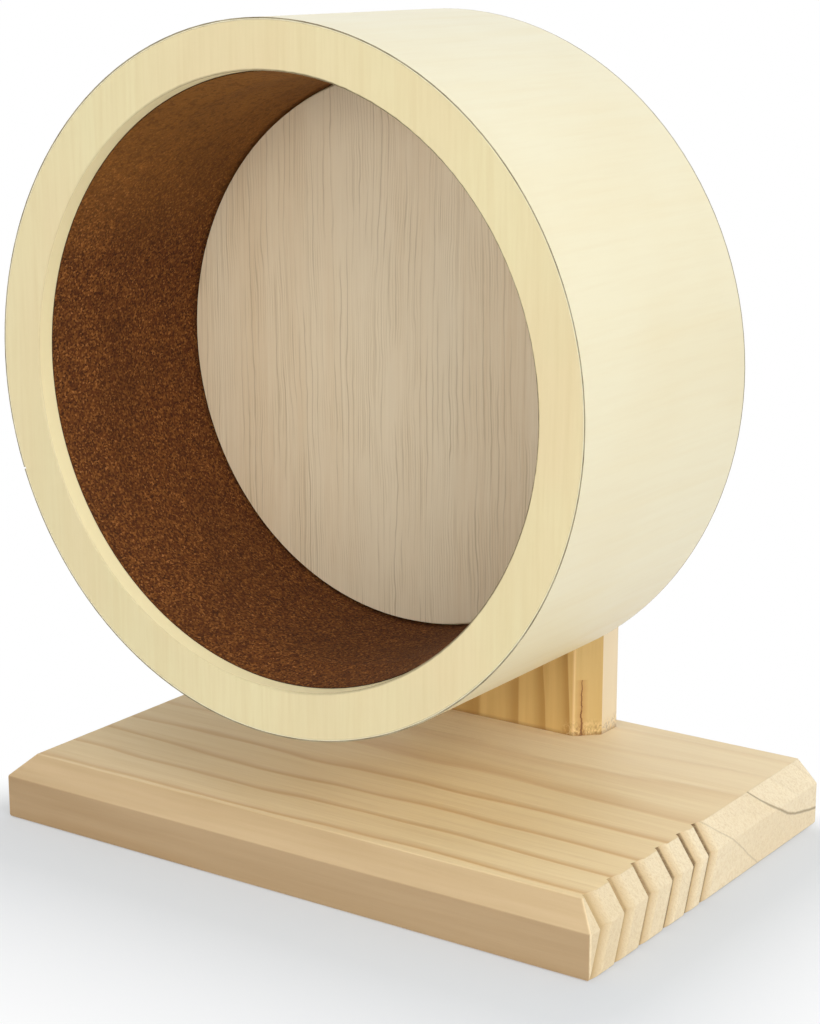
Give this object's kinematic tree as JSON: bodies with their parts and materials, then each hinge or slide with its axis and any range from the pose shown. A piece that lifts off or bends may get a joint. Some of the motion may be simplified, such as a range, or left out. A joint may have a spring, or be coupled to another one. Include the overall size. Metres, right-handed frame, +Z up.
{
  "type": "rodent exercise wheel",
  "caption": "Wooden running drum with a cork lining, turning on ball bearings at the top of a post that stands on a thick chamfered board.",
  "frame": {"origin": "middle of the base board's underside", "axes": "+Z up, +Y towards the post behind the drum, so the drum's open mouth faces -Y"},
  "size_m": [0.158, 0.1126, 0.1855],
  "materials": {
    "pine_board": "planed pine, unvarnished, latewood stripes along the board",
    "pine_post": "planed pine, upright grain",
    "beech": "ribbed hardwood dowel",
    "ring_face": "smooth pale faced plywood, faint upright grain",
    "rear_ring_ply": "smooth pale plywood",
    "bent_ply": "thin bent plywood",
    "pale_veneer": "smooth pale wrap, satin",
    "cork": "dark granulated cork sheet",
    "disc_ply": "plywood disc",
    "facing_board": "beige wood-grain facing, fine upright lines",
    "boss_ply": "plywood boss with layered rim",
    "zinc_screw": "zinc plated, cross recess",
    "zinc_bolt": "zinc plated",
    "bright_steel": "turned steel",
    "polished_nut": "nickel plated dome",
    "bearing_steel": "ground bearing steel",
    "ball_steel": "polished balls",
    "shield_steel": "pressed steel shield",
    "cage_nylon": "natural nylon"
  },
  "bodies": {
    "stand": {"base_board": "pine_board", "upright_post": "pine_post", "post_dowels": "beech", "post_screws": "zinc_screw", "axle_bolt": "zinc_bolt", "axle_lock_nut": "zinc_bolt", "post_washers": "zinc_bolt", "dome_nut": "polished_nut", "speed_washers": "bright_steel", "bearing_spacer": "bright_steel", "front_bearing_inner_race": "bearing_steel", "rear_bearing_inner_race": "bearing_steel"},
    "wheel": {"front_ring": "ring_face", "rear_ring": "rear_ring_ply", "inner_hoop": "bent_ply", "outer_shell": "bent_ply", "outer_veneer": "pale_veneer", "cork_tread": "cork", "back_disc": "disc_ply", "disc_facing": "facing_board", "hub_boss": "boss_ply", "hub_screws": "zinc_screw", "front_bearing_outer_race": "bearing_steel", "front_bearing_shields": "shield_steel", "rear_bearing_outer_race": "bearing_steel", "rear_bearing_shields": "shield_steel"},
    "front_balls": {"front_bearing_balls": "ball_steel", "front_bearing_cage": "cage_nylon"},
    "rear_balls": {"rear_bearing_balls": "ball_steel", "rear_bearing_cage": "cage_nylon"}
  },
  "joints": [
    {"name": "wheel_spin", "type": "hinge", "parent": "stand", "child": "wheel", "pos_m": [0, 0, 0.1105], "axis": [0, 1, 0], "continuous": true},
    {"name": "front_balls_roll", "type": "hinge", "parent": "stand", "child": "front_balls", "pos_m": [0, 0, 0.1105], "axis": [0, 1, 0], "continuous": true},
    {"name": "rear_balls_roll", "type": "hinge", "parent": "stand", "child": "rear_balls", "pos_m": [0, 0, 0.1105], "axis": [0, 1, 0], "continuous": true}
  ],
  "couplings": [
    {"joint": "front_balls_roll", "follows": "wheel_spin", "ratio": 0.62967},
    {"joint": "rear_balls_roll", "follows": "wheel_spin", "ratio": 0.62967}
  ]
}
